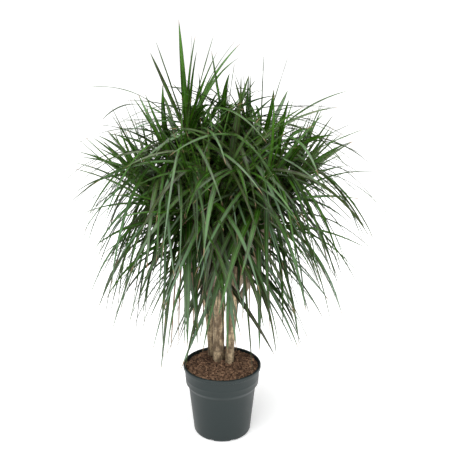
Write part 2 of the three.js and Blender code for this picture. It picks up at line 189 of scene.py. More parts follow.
class PlantLook(bpy.types.PropertyGroup):
    """Sizes and colours of the plant that a user would change."""

    fine_leaves: bpy.props.IntProperty(
        name="Fine leaves",
        description="Leaves in each crown besides its main ones",
        default=52,
        min=0,
        max=90,
    )
    dry_leaves: bpy.props.IntProperty(
        name="Dry leaves",
        description="Withered leaves under each crown",
        default=2,
        min=0,
        max=10,
    )
    blade_thickness: bpy.props.FloatProperty(
        name="Blade thickness",
        description="Thickness of a leaf at its midrib",
        default=0.0007,
        min=0.0003,
        max=0.002,
        precision=4,
        subtype="DISTANCE",
        unit="LENGTH",
    )
    leaf_deep: bpy.props.FloatVectorProperty(
        name="Deep green",
        description="Colour of an old leaf",
        default=(0.003, 0.018, 0.001),
        subtype="COLOR",
        min=0,
        max=1,
    )
    leaf_fresh: bpy.props.FloatVectorProperty(
        name="Fresh green",
        description="Colour of a young leaf",
        default=(0.042, 0.14, 0.003),
        subtype="COLOR",
        min=0,
        max=1,
    )
    # A painted sheen: a pale grey-green painted onto the outer half of some old leaves, standing in for the
    # reflection of the white surroundings.
    leaf_painted_sheen: bpy.props.FloatVectorProperty(
        name="Sheen grey",
        description="Colour of the pale waxy highlight on some old leaves",
        default=(0.14, 0.22, 0.15),
        subtype="COLOR",
        min=0,
        max=1,
    )
    leaf_margin: bpy.props.FloatVectorProperty(
        name="Leaf margin",
        description="Colour of the thin red edge of a leaf",
        default=(0.045, 0.018, 0.02),
        subtype="COLOR",
        min=0,
        max=1,
    )
    leaf_dry: bpy.props.FloatVectorProperty(
        name="Dry leaf",
        description="Colour of withered tips and leaves",
        default=(0.2, 0.13, 0.07),
        subtype="COLOR",
        min=0,
        max=1,
    )


class PotLook(bpy.types.PropertyGroup):
    """Colours of the pot, the bark mix and the wood."""

    plastic: bpy.props.FloatVectorProperty(
        name="Plastic",
        description="Colour of the pot",
        default=(0.012, 0.021, 0.021),
        subtype="COLOR",
        min=0,
        max=1,
    )
    mix_dark: bpy.props.FloatVectorProperty(
        name="Dark mix",
        description="Colour of the wet parts of the potting mix",
        default=(0.028, 0.014, 0.01),
        subtype="COLOR",
        min=0,
        max=1,
    )
    mix_light: bpy.props.FloatVectorProperty(
        name="Light mix",
        description="Colour of the dry bark chips",
        default=(0.55, 0.33, 0.2),
        subtype="COLOR",
        min=0,
        max=1,
    )
    bark_light: bpy.props.FloatVectorProperty(
        name="Light bark",
        description="Colour of the smooth patches of a cane",
        default=(0.62, 0.48, 0.3),
        subtype="COLOR",
        min=0,
        max=1,
    )
    bark_dark: bpy.props.FloatVectorProperty(
        name="Dark bark",
        description="Colour of the cracks and scars of a cane",
        default=(0.05, 0.034, 0.02),
        subtype="COLOR",
        min=0,
        max=1,
    )
    chips: bpy.props.IntProperty(
        name="Bark chips",
        description="Loose chips that lie on the potting mix",
        default=2600,
        min=0,
        max=6000,
    )


class StageLook(bpy.types.PropertyGroup):
    """Floor, lights and camera."""

    backdrop: bpy.props.FloatVectorProperty(
        name="Backdrop",
        description="Colour of the floor",
        default=(0.93, 0.93, 0.93),
        subtype="COLOR",
        min=0,
        max=1,
    )
    key_power: bpy.props.FloatProperty(
        name="Key light",
        description="Power of the large light at the front left",
        default=115,
        min=0,
        subtype="POWER",
        unit="POWER",
    )
    surround: bpy.props.FloatProperty(
        name="Surrounding light",
        description="Strength of the even light from all around",
        default=0.2,
        min=0,
    )
    floor_glow: bpy.props.FloatProperty(
        name="Floor glow",
        description="Light that the white floor gives off besides what it reflects",
        default=0.42,
        min=0,
    )
    camera_distance: bpy.props.FloatProperty(
        name="Camera distance",
        description="Distance from the pot's axis to the camera, along the floor",
        default=1.96,
        min=0.5,
        subtype="DISTANCE",
        unit="LENGTH",
    )
    camera_height: bpy.props.FloatProperty(
        name="Camera height",
        description="Height of the camera above the floor",
        default=1.22,
        min=0,
        subtype="DISTANCE",
        unit="LENGTH",
    )


# ---------------------------------------------------------------- meshes


def make_piece(name, points, faces, material, uv=None, traits=None, sharp_angle=50):
    """A mesh object from points in millimetres and arrays of faces, each array with one corner count.

    uv has two values a point, and traits four values a point. Edges that turn more than
    sharp_angle degrees stay sharp, and the rest are smooth.
    """
    faces = [np.asarray(f, np.int32) for f in faces if len(f)]
    counts = np.concatenate([np.full(len(f), f.shape[1], np.int32) for f in faces])
    corners = np.concatenate([f.ravel() for f in faces])
    mesh = bpy.data.meshes.new(name)
    mesh.vertices.add(len(points))
    mesh.vertices.foreach_set("co", (np.asarray(points, float) * MM).astype(np.float32).ravel())
    mesh.loops.add(len(corners))
    mesh.loops.foreach_set("vertex_index", corners)
    mesh.polygons.add(len(counts))
    mesh.polygons.foreach_set("loop_start", np.concatenate(([0], np.cumsum(counts)[:-1])).astype(np.int32))
    mesh.update(calc_edges=True)
    mesh.validate()
    if uv is not None:
        layer = mesh.uv_layers.new(name="across_along")
        layer.data.foreach_set("uv", np.asarray(uv, np.float32)[corners].ravel())
    if traits is not None:
        attribute = mesh.attributes.new("traits", "FLOAT_COLOR", "POINT")
        attribute.data.foreach_set("color", np.asarray(traits, np.float32).ravel())
    mesh.polygons.foreach_set("use_smooth", np.ones(len(counts), bool))
    mesh.set_sharp_from_angle(angle=math.radians(sharp_angle))
    mesh.materials.append(material)
    piece = bpy.data.objects.new(name, mesh)
    bpy.context.scene.collection.objects.link(piece)
    return piece


def grid_faces(rows, columns, first=0, close_columns=True):
    """Quads between neighbouring rows of a grid of points. The columns run anticlockwise, seen from
    the next row."""
    row = np.arange(rows - 1)[:, None] * columns + first
    column = np.arange(columns if close_columns else columns - 1)[None, :]
    following = (column + 1) % columns
    quads = np.stack([row + column, row + following, row + following + columns, row + column + columns], -1)
    return quads.reshape(-1, 4)


def fan_faces(centre, ring, outward):
    """Triangles from a centre point to a ring of points, turned over when they face the other way."""
    ring = np.asarray(ring)
    following = np.roll(ring, -1)
    middle = np.full(len(ring), centre)
    return np.stack([middle, ring, following] if outward else [middle, following, ring], -1)


def unit(vectors):
    """Each vector divided by its length."""
    return vectors / np.linalg.norm(vectors, axis=-1, keepdims=True)


def bezier(path, t):
    """Points of a cubic curve at shares t, and its tangents there."""
    a, b, c, d = (np.asarray(p, float) for p in path)
    t = np.asarray(t, float)[:, None]
    s = 1 - t
    points = s**3 * a + 3 * s * s * t * b + 3 * s * t * t * c + t**3 * d
    slopes = 3 * s * s * (b - a) + 6 * s * t * (c - b) + 3 * t * t * (d - c)
    return points, unit(slopes)


def waves(rng, count, around, along, max_around, max_along):
    """Smooth unevenness between about -1 and 1: a sum of sines whose number of waves round the
    piece is whole, so that it closes. around is an angle and along is a length, both arrays."""
    total = np.zeros(np.broadcast(around, along).shape)
    for _ in range(count):
        turns = rng.integers(0, max_around + 1)
        pitch = rng.uniform(-max_along, max_along)
        total += np.sin(turns * around + pitch * along + rng.uniform(0, 2 * np.pi))
    return total / math.sqrt(count)


# ---------------------------------------------------------------- growing the leaves


class Draws:
    """Seeded draws: each state is the last one times a constant plus another, modulo two to the 32."""

    def __init__(self, seed):
        self.state = seed

    def between(self, low, high):
        """The next draw, between low and high."""
        self.state = (self.state * 1664525 + 1013904223) & 0xFFFFFFFF
        return low + ((high - low) * self.state) / 4294967296


def crown_frame(lean, way):
    """The direction of a crown's tip, one level direction square to it, and the third."""
    tilt, turn = math.radians(lean), math.radians(way)
    axis = np.array([math.sin(tilt) * math.cos(turn), math.sin(tilt) * math.sin(turn), math.cos(tilt)])
    across = np.array([-math.sin(turn), math.cos(turn), 0.0])
    return axis, across, np.cross(axis, across)


def branch_path(crown):
    """The four control points of a crown's branch: it leaves its cane outwards and upwards, and
    ends in line with the crown."""
    cane, share, tip, lean, way, _ = crown
    start = bezier(CANES[cane]["path"], [share])[0][0]
    tip = np.array(tip, float)
    axis = crown_frame(lean, way)[0]
    span = np.linalg.norm(tip - start)
    outward = unit(np.array([tip[0] - start[0], tip[1] - start[1], 0.0]))
    leave = outward * 0.8 + np.array([0, 0, 0.6])
    return start, start + leave * span * 0.4, tip - axis * span * 0.35, tip


def half_width(width, share):
    """Half a blade's width at a share of its length: narrow at its foot, widest at a third, then a
    long point."""
    swell = np.minimum(1, share / 0.3)
    return (width / 2) * (0.62 + 0.38 * swell * (2 - swell)) * (1 - share**2.4) ** 0.85


def leaf_lines(crown, azimuth, splay, length, sag, drift, age):
    """The centre lines and sideways directions of several leaves of a crown.

    A leaf starts on the crown's tip at its age's height, leaves it at its splay, and at each of
    equal steps its direction falls by a share of sag that shrinks along the leaf, and turns a little
    to its side by drift.
    """
    axis, across, along = crown_frame(crown[3], crown[4])
    turn = np.radians(azimuth)[:, None]
    tilt = np.radians(np.maximum(3, splay))[:, None]
    radial = across * np.cos(turn) + along * np.sin(turn)
    side = along * np.cos(turn) - across * np.sin(turn)
    way = axis * np.cos(tilt) + radial * np.sin(tilt)
    point = np.array(crown[2], float) + axis * (CORE_LENGTH * (0.08 + 0.86 * age))[:, None]
    line, sides = [point], [side]
    for step in range(LEAF_STEPS):
        share = (step + 0.5) / LEAF_STEPS
        way = way.copy()
        way[:, 2] -= (sag * (1.15 - 0.3 * share)) / LEAF_STEPS
        way = unit(way + side * (drift / LEAF_STEPS)[:, None])
        side = unit(side - way * np.sum(side * way, -1, keepdims=True))
        point = point + way * (length / LEAF_STEPS)[:, None]
        line.append(point)
        sides.append(side)
    return np.stack(line, 1), np.stack(sides, 1)


def in_room(lines, tall):
    """Which leaves stay inside the egg, and clear of the pot and of the window in front of the canes."""
    x, y, z = lines[..., 0], lines[..., 1], lines[..., 2]
    out = np.hypot(x, y)
    above = FULL_HEIGHT - EGG["middle"] if tall else EGG["above"]
    reach = np.where(z < EGG["middle"], EGG["below"], above)
    in_egg = (out / EGG["radius"]) ** 2 + ((z - EGG["middle"]) / reach) ** 2 < 1
    in_pot = (out < POT_ROOM["radius"]) & (z < POT_ROOM["height"])
    level = (x > WINDOW["left"]) & (x < WINDOW["right"])
    in_window = level & (y < WINDOW["back"]) & (z < WINDOW["height"])
    return np.all(in_egg & ~in_pot & ~in_window, axis=-1)


def rod_gap(a, b, c, d):
    """The closest distance between straight pieces a-b and c-d, over arrays of them."""
    u, v, w = b - a, d - c, a - c
    uu, vv = np.sum(u * u, -1), np.sum(v * v, -1)
    uv, uw, vw = np.sum(u * v, -1), np.sum(u * w, -1), np.sum(v * w, -1)
    square = uu * vv - uv * uv
    safe = np.where(square > 1e-9, square, 1)
    s = np.where(square > 1e-9, np.clip((uv * vw - vv * uw) / safe, 0, 1), 0)
    t = (uv * s + vw) / vv
    s = np.where(t < 0, np.clip(-uw / uu, 0, 1), np.where(t > 1, np.clip((uv - uw) / uu, 0, 1), s))
    t = np.clip(t, 0, 1)
    return np.linalg.norm(w + u * s[..., None] - v * t[..., None], axis=-1)


class Obstacles:
    """Straight pieces to keep clear of, each with a radius, an owner and a kind."""

    def __init__(self):
        self.start = np.zeros((0, 3))
        self.end = np.zeros((0, 3))
        self.radius = np.zeros(0)
        self.owner = np.zeros(0, int)
        self.kind = np.zeros(0, int)

    def add(self, points, radii, owner, kind):
        """Adds the pieces between neighbouring points."""
        self.start = np.vstack([self.start, points[:-1]])
        self.end = np.vstack([self.end, points[1:]])
        self.radius = np.append(self.radius, radii)
        self.owner = np.append(self.owner, np.full(len(points) - 1, owner))
        self.kind = np.append(self.kind, np.full(len(points) - 1, kind))


LEAF, WOOD, CORE = range(3)


def grow_wood():
    """The obstacles that the canes, branches and crown tips make."""
    solid = Obstacles()
    shares = np.arange(WOOD_STEPS + 1) / WOOD_STEPS
    for cane in CANES.values():
        points = bezier(cane["path"], shares)[0]
        solid.add(points, np.full(WOOD_STEPS, cane["radius"][0]), -1, WOOD)
    for k, crown in enumerate(CROWNS):
        axis = crown_frame(crown[3], crown[4])[0]
        tip = np.array(crown[2], float)
        solid.add(bezier(branch_path(crown), shares)[0], np.full(WOOD_STEPS, BRANCH_RADIUS[0]), k, WOOD)
        solid.add(np.stack([tip, tip + axis * CORE_LENGTH]), [CORE_RADIUS[0]], k, CORE)
    return solid


def is_clear(line, width, owner, solid):
    """Whether a leaf keeps its width away from other crowns' leaves and from all wood. Its first two
    pieces may pass close to its own branch, and all of it to its own crown's tip."""
    stations = line[CLEAR_STATIONS]
    reach = half_width(width, np.array(CLEAR_STATIONS[:-1]) / LEAF_STEPS) + 1
    gap = rod_gap(stations[:-1, None], stations[1:, None], solid.start[None], solid.end[None])
    close = gap <= reach[:, None] + solid.radius[None]
    own = solid.owner == owner
    near_foot = np.arange(len(reach))[:, None] < 2
    excused = own & (solid.kind != WOOD) | own & near_foot
    return not np.any(close & ~excused)


def grow_main_leaves():
    """Each crown's main leaves: first those of the outline, then the others, round by round and oldest
    first. A leaf that touches something is drawn again, a little turned and shorter, and left out if
    no try fits."""
    solid = grow_wood()
    leaves = [[] for _ in CROWNS]

    def place(line, side, width, age, k):
        reach = half_width(width, np.array(CLEAR_STATIONS[:-1]) / LEAF_STEPS) + 1
        solid.add(line[CLEAR_STATIONS], reach, k, LEAF)
        leaves[k].append((line, side, width, age))

    for number, azimuth, splay, length, sag, drift, width, age in OUTLINE_LEAVES:
        values = [np.array([v], float) for v in (azimuth, splay, length, sag, drift, age)]
        line, sides = leaf_lines(CROWNS[number - 1], *values)
        place(line[0], sides[0], width, age, number - 1)
    draws = [Draws(LEAF_SEED + 77 * k) for k in range(len(CROWNS))]
    for index in range(MAIN_LEAVES):
        age = (index + 0.5) / MAIN_LEAVES
        for k, crown in enumerate(CROWNS):
            between = draws[k].between
            for attempt in range(LEAF_TRIES):
                azimuth = index * GOLDEN_ANGLE + between(-8, 8) * (1 + attempt / 10)
                splay = 122 - 114 * age**0.65 + between(-8, 8) * (1 + attempt / 60)
                young = max(0, (age - 0.55) / 0.45)
                length = crown[5] * (1 - 0.42 * young) * between(0.86, 1.08) * (1 - attempt / 500)
                sag = (1.1 + 6 * age) * (1 - age) ** 1.2 * between(0.7, 1.3)
                drift = between(-0.35, 0.35)
                width = between(*LEAF_WIDTH)
                values = [np.array([v], float) for v in (azimuth, splay, length, sag, drift, age)]
                line, sides = leaf_lines(crown, *values)
                if in_room(line, k == 0)[0] and is_clear(line[0], width, k, solid):
                    place(line[0], sides[0], width, age, k)
                    break
    return leaves


def grow_fine_leaves(rng, crown, k, wood, wanted, dry):
    """Further leaves of a crown, by the same rule with free draws. Dry ones hang down from its foot."""
    tries = TRIES_PER_FINE_LEAF * wanted
    index = np.arange(tries)
    age = np.zeros(tries) if dry else ((index * GOLDEN_SHARE) % 1)
    azimuth = rng.uniform(0, 360, tries)
    young = np.maximum(0, (age - 0.6) / 0.4)
    if dry:
        splay = rng.uniform(100, 150, tries)
        length = crown[5] * rng.uniform(0.45, 0.85, tries)
        sag = rng.uniform(1.5, 4, tries)
        width = rng.uniform(6, 9, tries)
    else:
        splay = 124 - 116 * age**0.65 + rng.normal(0, 9, tries)
        length = crown[5] * (1 - 0.42 * young) * rng.uniform(0.8, 1.12, tries)
        sag = (1.1 + 6 * age) * (1 - age) ** 1.2 * rng.uniform(0.65, 1.35, tries)
        width = rng.uniform(8, 16, tries)
    drift = rng.uniform(-0.35, 0.35, tries)
    lines, sides = leaf_lines(crown, azimuth, splay, length, sag, drift, age)
    good = in_room(lines, k == 0)
    keep = []
    for i in np.flatnonzero(good):
        if is_clear(lines[i], width[i] * 0.5, k, wood):
            keep.append(i)
        if len(keep) == wanted:
            break
    return [(lines[i], sides[i], width[i], age[i]) for i in keep]


# ---------------------------------------------------------------- leaf blades

BLADE_ACROSS = np.array([0, 0.25, 0.5, 0.75, 1, 0.75, 0.5, 0.25])
BLADE_UNDER = np.array([0, 0, 0, 0, 0, 1, 1, 1])


def blades(leaves, dryness, thickness, rng):
    """Points, faces, UVs and traits of closed blades.

    A blade's section is a shallow V: at a share across, its height is the fold times the distance
    from the midrib, and the underside lies a thickness lower that fades to nothing at both edges.
    The fold is deep at the foot and flattens towards the tip, and the blade twists slowly.
    """
    count = len(leaves)
    line = np.stack([leaf[0] for leaf in leaves])
    side = np.stack([leaf[1] for leaf in leaves])
    width = np.array([leaf[2] for leaf in leaves])
    age = np.array([leaf[3] for leaf in leaves])
    share = np.arange(LEAF_STEPS + 1) / LEAF_STEPS
    along = unit(np.gradient(line, axis=1))
    up = np.cross(along, side)
    twist = (rng.uniform(-0.7, 0.7, count)[:, None] * share**1.5)[..., None]
    side, up = side * np.cos(twist) + up * np.sin(twist), up * np.cos(twist) - side * np.sin(twist)
    half = half_width(width[:, None], np.minimum(share, 0.995)[None])
    across = (BLADE_ACROSS * 2 - 1)[None, None, :]
    depth = 1 - np.abs(across)
    fold = 0.18 + 0.5 * (1 - share[None, :, None]) ** 3
    thick = thickness / MM * (0.45 + 0.55 * depth**2) * (1 + 1.2 * (1 - share[None, :, None]) ** 4)
    ruffle = 0.05 * np.sin(share[None, :, None] * rng.uniform(18, 40, count)[:, None, None] + across * 2)
    height = half[..., None] * (fold * (np.abs(across) - 0.5) + ruffle)
    height = height - thick * (depth > 0) * (BLADE_UNDER[None, None] - 0.4)
    points = (
        line[:, :, None]
        + side[:, :, None] * (half[..., None] * across)[..., None]
        + up[:, :, None] * height[..., None]
    )
    ring = len(BLADE_ACROSS)
    steps = LEAF_STEPS
    body = points[:, :steps].reshape(count, steps * ring, 3)
    tip = line[:, steps:]
    points = np.concatenate([body, tip], 1)
    per_leaf = steps * ring + 1
    quads = grid_faces(steps, ring)[:, ::-1]
    last = (steps - 1) * ring + np.arange(ring)
    tip_faces = fan_faces(steps * ring, last, False)
    root = np.arange(ring)[None, :]
    offsets = np.arange(count)[:, None, None] * per_leaf
    faces = [(f[None] + offsets).reshape(-1, f.shape[1]) for f in (quads, tip_faces, root)]
    uv = np.zeros((count, per_leaf, 2))
    uv[:, : steps * ring, 0] = np.tile(BLADE_ACROSS, steps)
    uv[:, : steps * ring, 1] = np.repeat(share[:steps], ring)
    uv[:, -1] = (0.5, 1)
    traits = np.ones((count, per_leaf, 4))
    traits[..., 0] = rng.random(count)[:, None]
    traits[..., 1] = age[:, None]
    traits[..., 2] = dryness[:, None]
    return points.reshape(-1, 3), faces, uv.reshape(-1, 2), traits.reshape(-1, 4)


def rod(path, radius, rows, columns, reference, shape):
    """A closed round rod along a cubic path: at a share along and an angle round it, a point lies at
    the radius there times shape(angle, length along). It is closed by fans at both ends."""
    share = np.linspace(0, 1, rows)
    centre, tangent = bezier(path, share)
    first = unit(reference - tangent * (tangent @ reference)[:, None])
    second = np.cross(tangent, first)
    angle = np.arange(columns) / columns * 2 * np.pi
    step = np.linalg.norm(np.diff(centre, axis=0), axis=1)
    along = np.concatenate(([0], np.cumsum(step)))
    size = (radius[0] + (radius[1] - radius[0]) * share)[:, None] * shape(angle[None], along[:, None])
    points = centre[:, None] + size[..., None] * (
        first[:, None] * np.cos(angle)[None, :, None] + second[:, None] * np.sin(angle)[None, :, None]
    )
    points = np.concatenate([points.reshape(-1, 3), centre[:1], centre[-1:]])
    last = rows * columns
    faces = [
        grid_faces(rows, columns),
        np.concatenate([
            fan_faces(last, np.arange(columns), False),
            fan_faces(last + 1, last - columns + np.arange(columns), True),
        ]),
    ]
    uv = np.zeros((len(points), 2))
    uv[:last, 0] = np.tile(angle / (2 * np.pi), rows)
    uv[:last, 1] = np.repeat(along / 1000, columns)
    uv[-1, 1] = along[-1] / 1000
    return points, faces, uv


# ---------------------------------------------------------------- materials


def new_material(name):
    """An empty node material with its Principled shader."""
    material = bpy.data.materials.new(name)
    material.use_nodes = True
    return material, material.node_tree, material.node_tree.nodes["Principled BSDF"]


def node(tree, kind, **values):
    """A node with some properties set. A value named in_NAME sets the input of that name."""
    made = tree.nodes.new(kind)
    for key, value in values.items():
        if key.startswith("in_"):
            made.inputs[key[3:].replace("_", " ")].default_value = value
        else:
            setattr(made, key, value)
    return made


def rgba(colour):
    """A colour with full alpha."""
    return (*colour, 1)


def mottle_group():
    """A shared effect: mixes two colours by cloudy noise, and gives the cloud as a mask.

    The noise is read at Object coordinates times Scale, stretched by Stretch along Z.
    """
    group = bpy.data.node_groups.get("mottle")
    if group:
        return group
    group = bpy.data.node_groups.new("mottle", "ShaderNodeTree")
    face = group.interface
    face.new_socket("Vector", in_out="INPUT", socket_type="NodeSocketVector")
    for label, grey in (("Light", 0.8), ("Dark", 0.1)):
        socket = face.new_socket(label, in_out="INPUT", socket_type="NodeSocketColor")
        socket.default_value = rgba((grey, grey, grey))
    for label, value in (("Scale", 40.0), ("Edge Low", 0.4), ("Edge High", 0.6)):
        socket = face.new_socket(label, in_out="INPUT", socket_type="NodeSocketFloat")
        socket.default_value = value
    face.new_socket("Color", in_out="OUTPUT", socket_type="NodeSocketColor")
    face.new_socket("Mask", in_out="OUTPUT", socket_type="NodeSocketFloat")
    source = group.nodes.new("NodeGroupInput")
    result = group.nodes.new("NodeGroupOutput")
    cloud = node(group, "ShaderNodeTexNoise", in_Detail=6.0, in_Roughness=0.6)
    span = node(group, "ShaderNodeMapRange", interpolation_type="SMOOTHSTEP")
    mix = node(group, "ShaderNodeMix", data_type="RGBA")
    link = group.links.new
    link(source.outputs["Vector"], cloud.inputs["Vector"])
    link(source.outputs["Scale"], cloud.inputs["Scale"])
    link(cloud.outputs["Fac"], span.inputs["Value"])
    link(source.outputs["Edge Low"], span.inputs["From Min"])
    link(source.outputs["Edge High"], span.inputs["From Max"])
    link(span.outputs["Result"], mix.inputs["Factor"])
    link(source.outputs["Dark"], mix.inputs["A"])
    link(source.outputs["Light"], mix.inputs["B"])
    link(mix.outputs["Result"], result.inputs["Color"])
    link(span.outputs["Result"], result.inputs["Mask"])
    return group


def mottle(tree, vector, light, dark, scale, low=0.4, high=0.6):
    """The shared mottle effect placed in a material, fed with a vector output."""
    made = node(tree, "ShaderNodeGroup", node_tree=mottle_group())
    made.inputs["Scale"].default_value = scale
    made.inputs["Edge Low"].default_value = low
    made.inputs["Edge High"].default_value = high
    for socket, value in (("Light", light), ("Dark", dark)):
        if isinstance(value, bpy.types.NodeSocket):
            tree.links.new(value, made.inputs[socket])
        else:
            made.inputs[socket].default_value = rgba(value)
    tree.links.new(vector, made.inputs["Vector"])
    return made


def math_node(tree, operation, first, second=0.0):
    """A Math node, whose inputs are outputs or numbers. Gives its output."""
    made = node(tree, "ShaderNodeMath", operation=operation)
    for socket, value in zip(made.inputs, (first, second)):
        if isinstance(value, bpy.types.NodeSocket):
            tree.links.new(value, socket)
        else:
            socket.default_value = value
    return made.outputs[0]


def blend_colours(tree, share, first, second):
    """A colour mix, from first at 0 to second at 1. Gives its output."""
    made = node(tree, "ShaderNodeMix", data_type="RGBA")
    for socket, value in (("Factor", share), ("A", first), ("B", second)):
        if isinstance(value, bpy.types.NodeSocket):
            tree.links.new(value, made.inputs[socket])
        elif socket == "Factor":
            made.inputs[socket].default_value = value
        else:
            made.inputs[socket].default_value = rgba(value)
    return made.outputs["Result"]


def ramp(tree, value, low, high):
    """0 below low, 1 above high and smooth between. Gives its output."""
    made = node(tree, "ShaderNodeMapRange", interpolation_type="SMOOTHSTEP")
    made.inputs["From Min"].default_value = low
    made.inputs["From Max"].default_value = high
    tree.links.new(value, made.inputs["Value"])
    return made.outputs["Result"]


def leaf_material(look):
    """Green blades: fresh on young leaves and deep on old ones, with fine lengthwise veins, a pale
    midrib, a red edge, a tip that dries from yellow to brown, and on some old leaves a painted
    sheen, a pale grey towards the tip."""
    material, tree, shader = new_material("leaf_green")
    link = tree.links.new
    uv = node(tree, "ShaderNodeUVMap", uv_map="across_along")
    split = node(tree, "ShaderNodeSeparateXYZ")
    link(uv.outputs["UV"], split.inputs[0])
    across, along = split.outputs["X"], split.outputs["Y"]
    traits = node(tree, "ShaderNodeAttribute", attribute_name="traits")
    parts = node(tree, "ShaderNodeSeparateColor")
    link(traits.outputs["Color"], parts.inputs[0])
    tone, age, dry = parts.outputs[0], parts.outputs[1], parts.outputs[2]
    off_middle = math_node(tree, "ABSOLUTE", math_node(tree, "SUBTRACT", across, 0.5))
    freshness = math_node(tree, "MULTIPLY", math_node(tree, "ADD", tone, age), 0.5)
    green = blend_colours(tree, freshness, look.leaf_deep, look.leaf_fresh)
    position = node(tree, "ShaderNodeTexCoord").outputs["Object"]
    patch = mottle(tree, position, green, (0, 0, 0), 22.0, 0.3, 0.62)
    green = blend_colours(tree, 0.55, green, patch.outputs["Color"])
    veins = node(tree, "ShaderNodeTexWave", bands_direction="X", in_Scale=9.0, in_Distortion=0.0)
    link(uv.outputs["UV"], veins.inputs["Vector"])
    # Painted sheen: some older leaves are blended towards a pale grey along their outer half, painted in
    # place of the reflection of the white surroundings.
    painted_sheen = math_node(tree, "MULTIPLY", ramp(tree, tone, 0.4, 0.9), math_node(tree, "SUBTRACT", 0.9, age))
    painted_sheen = math_node(tree, "MULTIPLY", painted_sheen, ramp(tree, along, 0.4, 0.85))
    green = blend_colours(tree, math_node(tree, "MAXIMUM", painted_sheen, 0.0), green, look.leaf_painted_sheen)
    other = math_node(tree, "FRACT", math_node(tree, "MULTIPLY", tone, 7.3))
    reddish = math_node(tree, "MULTIPLY", ramp(tree, other, 0.6, 1.0), 0.35)
    green = blend_colours(tree, reddish, green, look.leaf_margin)
    foot = math_node(tree, "SUBTRACT", 1.0, ramp(tree, along, 0.0, 0.12))
    pale = math_node(tree, "MULTIPLY", foot, 0.5)
    green = blend_colours(tree, pale, green, LEAF_FOOT)
    rib = math_node(tree, "SUBTRACT", 1.0, ramp(tree, off_middle, 0.015, 0.06))
    green = blend_colours(tree, math_node(tree, "MULTIPLY", rib, 0.35), green, MIDRIB)
    edge = ramp(tree, off_middle, 0.38, 0.46)
    colour = blend_colours(tree, math_node(tree, "MULTIPLY", edge, 0.85), green, look.leaf_margin)
    start = math_node(tree, "SUBTRACT", 0.985, math_node(tree, "MULTIPLY", tone, 0.06))
    past = math_node(tree, "SUBTRACT", along, start)
    withered = math_node(tree, "MAXIMUM", ramp(tree, past, 0.0, 0.02), dry)
    colour = blend_colours(tree, withered, colour, look.leaf_dry)
    link(colour, shader.inputs["Base Color"])
    bump = node(tree, "ShaderNodeBump", in_Strength=0.25, in_Distance=0.0003)
    link(veins.outputs["Fac"], bump.inputs["Height"])
    link(bump.outputs["Normal"], shader.inputs["Normal"])
    rough = math_node(tree, "ADD", math_node(tree, "MULTIPLY", withered, 0.4), 0.27)
    link(rough, shader.inputs["Roughness"])
    shader.inputs["Specular IOR Level"].default_value = 0.27
    return material


def bark_material(name, look, light, dark, scale):
    """Bark: pale smooth patches over darker ones, cracks that run lengthwise and scars that run
    round, all of them also raised or sunk as bump."""
    material, tree, shader = new_material(name)
    link = tree.links.new
    position = node(tree, "ShaderNodeTexCoord").outputs["Object"]
    stretched = node(tree, "ShaderNodeMapping", in_Scale=(1, 1, 0.35))
    link(position, stretched.inputs["Vector"])
    base = mottle(tree, stretched.outputs["Vector"], light, dark, 60.0 * scale, 0.4, 0.62)
    greyed = mottle(tree, position, base.outputs["Color"], BARK_STAIN, 70.0 * scale, 0.35, 0.55)
    colour = blend_colours(tree, 0.6, base.outputs["Color"], greyed.outputs["Color"])
    crack_space = node(tree, "ShaderNodeMapping", in_Scale=(1, 1, 0.16))
    link(position, crack_space.inputs["Vector"])
    cracks = node(tree, "ShaderNodeTexVoronoi", feature="DISTANCE_TO_EDGE", in_Scale=150.0 * scale)
    link(crack_space.outputs["Vector"], cracks.inputs["Vector"])
    crack = math_node(tree, "SUBTRACT", 1.0, ramp(tree, cracks.outputs["Distance"], 0.0, 0.09))
    scar_space = node(tree, "ShaderNodeMapping", in_Scale=(0.25, 0.25, 1))
    link(position, scar_space.inputs["Vector"])
    scars = node(tree, "ShaderNodeTexNoise", in_Scale=150.0 * scale, in_Detail=3.0)
    link(scar_space.outputs["Vector"], scars.inputs["Vector"])
    scar = ramp(tree, scars.outputs["Fac"], 0.55, 0.68)
    cracked = math_node(tree, "MULTIPLY", crack, 0.45)
    scarred = math_node(tree, "MULTIPLY", scar, 0.5)
    worn = math_node(tree, "MAXIMUM", cracked, scarred)
    colour = blend_colours(tree, worn, colour, look.bark_dark)
    link(colour, shader.inputs["Base Color"])
    height = math_node(tree, "SUBTRACT", base.outputs["Mask"], worn)
    bump = node(tree, "ShaderNodeBump", in_Strength=0.8, in_Distance=0.0016)
    link(height, bump.inputs["Height"])
    link(bump.outputs["Normal"], shader.inputs["Normal"])
    shader.inputs["Roughness"].default_value = 0.82
    return material


def mix_material(name, look, use_traits):
    """Potting mix: dark peat with lighter crumbs. On the chips, each chip has its own tone."""
    material, tree, shader = new_material(name)
    link = tree.links.new
    position = node(tree, "ShaderNodeTexCoord").outputs["Object"]
    crumbs = mottle(tree, position, look.mix_light, look.mix_dark, 260.0, 0.42, 0.66)
    colour = crumbs.outputs["Color"]
    if use_traits:
        traits = node(tree, "ShaderNodeAttribute", attribute_name="traits")
        parts = node(tree, "ShaderNodeSeparateColor")
        link(traits.outputs["Color"], parts.inputs[0])
        chip = blend_colours(tree, parts.outputs[0], look.mix_dark, look.mix_light)
        colour = blend_colours(tree, 0.3, chip, colour)
    link(colour, shader.inputs["Base Color"])
    bump = node(tree, "ShaderNodeBump", in_Strength=0.7, in_Distance=0.002)
    link(crumbs.outputs["Mask"], bump.inputs["Height"])
    link(bump.outputs["Normal"], shader.inputs["Normal"])
    shader.inputs["Roughness"].default_value = 0.93
    shader.inputs["Specular IOR Level"].default_value = 0.25
    return material


